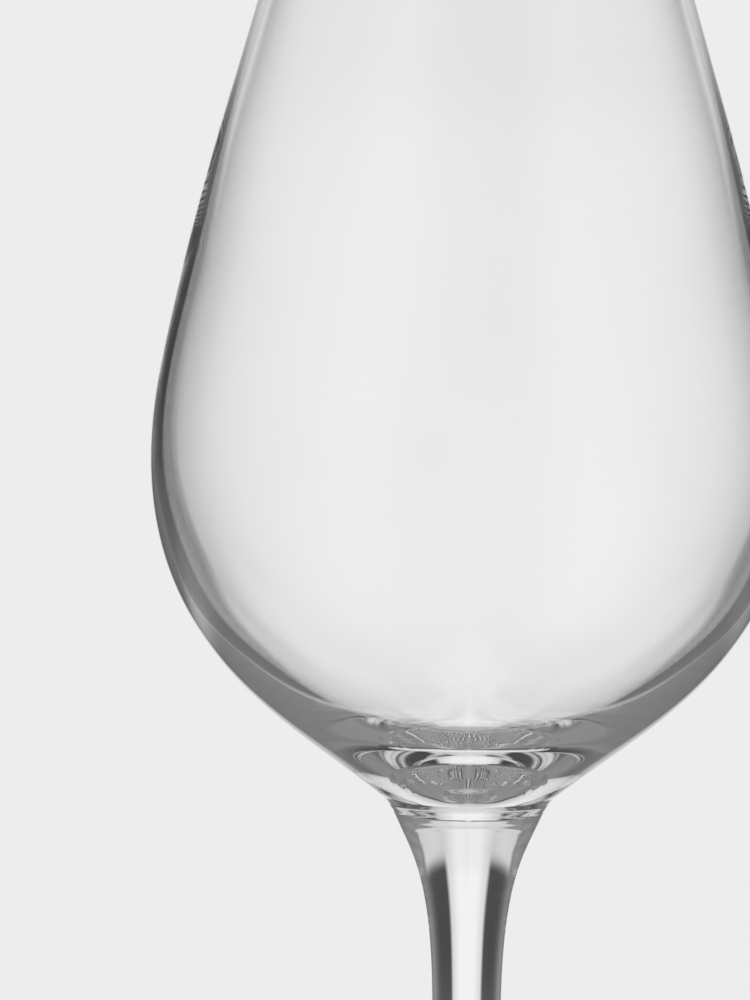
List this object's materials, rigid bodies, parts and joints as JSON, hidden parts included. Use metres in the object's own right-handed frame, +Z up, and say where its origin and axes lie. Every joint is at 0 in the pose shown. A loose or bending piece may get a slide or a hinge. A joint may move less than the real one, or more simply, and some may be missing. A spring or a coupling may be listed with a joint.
{
  "type": "wine glass",
  "caption": "Stemmed wine glass in clear glass: tall egg-shaped bowl narrowing to the lip, slender stem flaring into the bowl, round flat foot.",
  "frame": {"origin": "middle of the ring the foot stands on, at table height", "axes": "+Z up along the axis of the glass, from foot to lip; the glass is round, so +X and +Y are any two square directions across it"},
  "size_m": [0.084, 0.084, 0.221],
  "materials": {
    "bowl_glass": "clear blown glass, fire-polished, smooth and glossy on both sides",
    "stem_glass": "clear solid glass, fire-polished, smooth and glossy, faint ring marks at the upper weld",
    "foot_glass": "clear solid glass, fire-polished, smooth and glossy"
  },
  "bodies": {
    "root": {"bowl": "bowl_glass", "stem": "stem_glass", "foot": "foot_glass"}
  },
  "joints": []
}
